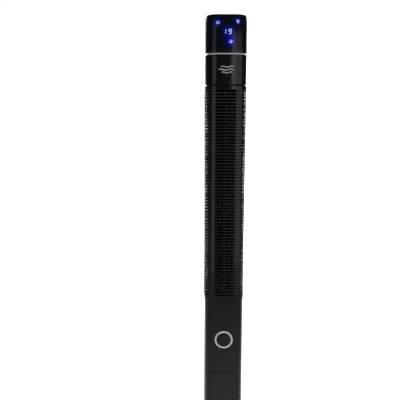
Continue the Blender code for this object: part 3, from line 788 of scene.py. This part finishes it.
# ---- Front grille ----
def slat_profile(z):
    """A slat with a round nose, tapering towards its back."""
    nose, back = [], SLAT_RADIUS * 0.6
    for step in range(7):
        turn = -math.pi / 2 + math.pi * step / 6
        nose.append((SLAT_RADIUS * 0.8 * (math.cos(turn) - 1), z + SLAT_RADIUS * math.sin(turn)))
    return [(-SLAT_DEPTH, z - back), *nose, (-SLAT_DEPTH, z + back)]


def make_slats(levels):
    """Slats that run level across the face and sweep down round the corners."""
    path = open_path(GRILLE_HALF, FRONT)
    reach = GRILLE_HALF - CORNER_DEPTH
    drop = []
    for point, _ in path:
        beyond = max(0.0, abs(point.x) - SWEEP_START) + max(0.0, reach + point.y)
        share = min(1.0, beyond / (GRILLE_HALF - SWEEP_START + reach))
        drop.append(SWEEP_DROP * share)
    slats = [sweep(path, slat_profile(z), drop=drop) for z in levels]
    piece("grille_slats", *joined(slats), "tower", "grille_black", GRILLE, 60)


def upright(start, stop, low, high, recess):
    """A post between two x positions of the front face, set back from the slats' noses."""
    path = between(section(GRILLE_HALF, *FRONT, POST_STEPS), start - 1e-5, stop + 1e-5)
    return sweep(path, moved_out(wall_profile(low, high, edge=POST_EDGE), -recess))


def make_grille():
    """Slats on recessed posts, between a plain band above and one below."""
    levels = [SLAT_TOP - index * SLAT_PITCH for index in range(SLAT_COUNT)]
    make_slats(levels)
    lip = GRILLE_HALF - COLUMN_HALF
    path = open_path(GRILLE_HALF, FRONT)
    low_edge = levels[-1] - 0.0062
    top_band = [(-WALL, SLAT_TOP - 0.001), (-0.0002, SLAT_TOP - 0.001), (0, SLAT_TOP),
                (0, SLAT_TOP + 0.0002), (0, GRILLE_HIGH - 0.0036), (0, GRILLE_HIGH - 0.0034),
                (-0.0002, GRILLE_HIGH - 0.0028), (-lip, GRILLE_HIGH), (-WALL, GRILLE_HIGH)]
    low_band = [(-WALL, GRILLE_LOW), (-lip, GRILLE_LOW), (-0.0001, GRILLE_LOW + 0.0014),
                (0, GRILLE_LOW + 0.0017), (0, GRILLE_LOW + 0.0019), (0, low_edge - 0.0006),
                (0, low_edge - 0.0004), (-0.0004, low_edge), (-WALL, low_edge)]
    parts = [sweep(path, top_band), sweep(path, low_band)]
    low, high = low_edge - 0.001, SLAT_TOP
    parts.append(upright(-RIB_HALF, RIB_HALF, low, high, 0.0006))
    for side in (-1, 1):
        near, far = sorted((side * WEB_START, side * POST_START))
        parts.append(upright(near, far, low, high, 0.0011))
        near, far = sorted((side * POST_START, side * SWEEP_START))
        parts.append(upright(near, far, low, high, 0.00015))
    side_post = moved_out(wall_profile(low, high, edge=POST_EDGE), -0.0008)
    for start, stop in ((180, 184), (356, 360)):
        parts.append(sweep(section(GRILLE_HALF, start, stop, 4), side_post))
    rails = piece("grille_frame", *joined(parts), "tower", "grille_black", CASING)
    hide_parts("front_grille")


# ---- Rear housing ----
def make_rear():
    """Rear shell: plain ends and sides, level intake bars, a centre rib and a dust screen."""
    path = open_path(COLUMN_HALF, BACK, REAR_STEPS)
    low = INTAKE_LOW
    top = low + (INTAKE_COUNT - 1) * INTAKE_PITCH + INTAKE_SLOT
    side_x, rib_x = INTAKE_HALF - 0.0006, INTAKE_RIB_HALF + 0.0004
    plain = wall_profile(low, top, edge=0)
    parts = [sweep(path, wall_profile(REAR_LOW, low)), sweep(path, wall_profile(top, REAR_HIGH))]
    for start, stop in ((-math.inf, -side_x), (side_x, math.inf), (-rib_x, rib_x)):
        parts.append(sweep(between(path, start, stop), plain))
    middle = between(path, -INTAKE_HALF - 0.002, INTAKE_HALF + 0.002)
    for index in range(INTAKE_COUNT - 1):
        bar_low = low + index * INTAKE_PITCH + INTAKE_SLOT
        bar = wall_profile(bar_low, bar_low + INTAKE_PITCH - INTAKE_SLOT, edge=0.0009)
        parts.append(sweep(middle, moved_out(bar, -0.0002)))
    shell = piece("rear_shell", *joined(parts), "tower", "gloss_black_casing", CASING)
    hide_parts("rear_housing")
    behind = moved_out(wall_profile(low - 0.003, top + 0.003, SCREEN_THICK, 0), -WALL - GAP)
    piece("dust_screen", *sweep(middle, behind), "tower", "inner_black", SCREEN)


# ---- Stage, lights and camera ----
def make_stage():
    """A pale floor that sweeps up into a backdrop."""
    profile = [(FLOOR_FRONT, 0.0), (FLOOR_BACK, 0.0)]
    for step in range(1, 17):
        turn = math.pi / 2 * step / 16
        profile.append((FLOOR_BACK + COVE * math.sin(turn), COVE * (1 - math.cos(turn))))
    profile.append((FLOOR_BACK + COVE, BACKDROP_HIGH))
    vertices = [(x, y, z) for x in (-FLOOR_HALF, FLOOR_HALF) for y, z in profile]
    size = len(profile)
    faces = [(index, index + 1, index + 1 + size, index + size) for index in range(size - 1)]
    mesh = bpy.data.meshes.new("floor")
    mesh.from_pydata(vertices, [], faces)
    mesh.shade_smooth()
    graph = Graph("pale_floor")
    graph.set(Base_Color=(0.90, 0.90, 0.90, 1), Roughness=0.9, Specular_IOR_Level=0.1)
    mesh.materials.append(graph.material)
    floor = bpy.data.objects.new("floor", mesh)
    bpy.context.scene.collection.objects.link(floor)


def area_light(name, place, target, size, energy, spread, colour=(1, 1, 1)):
    """A rectangular light aimed at a target, with its light held to a spread in degrees."""
    light = bpy.data.lights.new(name, "AREA")
    light.spread = math.radians(spread)
    light.shape = "RECTANGLE"
    light.size, light.size_y = size
    light.energy = energy
    light.color = colour
    made = bpy.data.objects.new(name, light)
    made.location = place
    made.rotation_euler = (Vector(target) - Vector(place)).to_track_quat("-Z", "Y").to_euler()
    bpy.context.scene.collection.objects.link(made)


def make_lights():
    """Soft light from above on floor, backdrop and sides, and tall soft boxes in front."""
    world = bpy.data.worlds.new("studio")
    world.use_nodes = True
    sky = world.node_tree.nodes["Background"].inputs
    sky["Color"].default_value = (0.95, 0.96, 1.0, 1)
    sky["Strength"].default_value = WORLD_STRENGTH
    bpy.context.scene.world = world
    area_light("overhead", (0, 1.50, 2.4), (0, 1.55, 0), (2.6, 1.8), OVERHEAD, 52)
    area_light("backdrop_light", (0, 0.4, 2.6), (0, 2.8, 1.2), (3.0, 0.6), BACKDROP, 100)
    rose, cool = (1.0, 0.97, 1.0), (0.97, 0.98, 1.0)
    area_light("soft_box_right", (0.86, -1.60, 0.75), (0.14, 0, 0.75), (1.50, 1.50),
               SOFT_RIGHT, 130, rose)
    area_light("soft_strip", (0.255, -1.80, 0.75), (0.04, 0, 0.75), (0.20, 1.50),
               SOFT_STRIP, 130, rose)
    area_light("soft_box_left", (-0.43, -1.55, 0.75), (-0.05, 0, 0.75), (0.50, 1.50),
               SOFT_LEFT, 130, cool)
    for side in (-1, 1):
        area_light(f"high_side_{side + 2}", (side * 1.30, 1.1, 1.85), (0, 0.1, 0.75), (0.4, 0.6),
                   HIGH_SIDE, 45)


def make_camera():
    """Close camera at the height of the upper grille, tilted a little down."""
    data = bpy.data.cameras.new("camera")
    data.lens = 38.8
    data.sensor_width = 36
    data.clip_start = 0.05
    camera = bpy.data.objects.new("camera", data)
    camera.location = (-0.0624, -1.110, HEAD_HIGH - 0.2915)
    camera.rotation_euler = (math.radians(82), math.radians(-0.11), 0)
    bpy.context.scene.collection.objects.link(camera)
    bpy.context.scene.camera = camera


finish_cad_nodes()
make_covers()
make_front_ring()
make_neck()
make_base()
make_head()
make_panel()
make_power_symbol()
make_mode_symbol()
make_digits()
make_fan_symbol()
make_breeze_mark()
make_grille()
make_rear()
make_stage()
make_lights()
make_camera()
bpy.context.scene.view_settings.view_transform = "Standard"
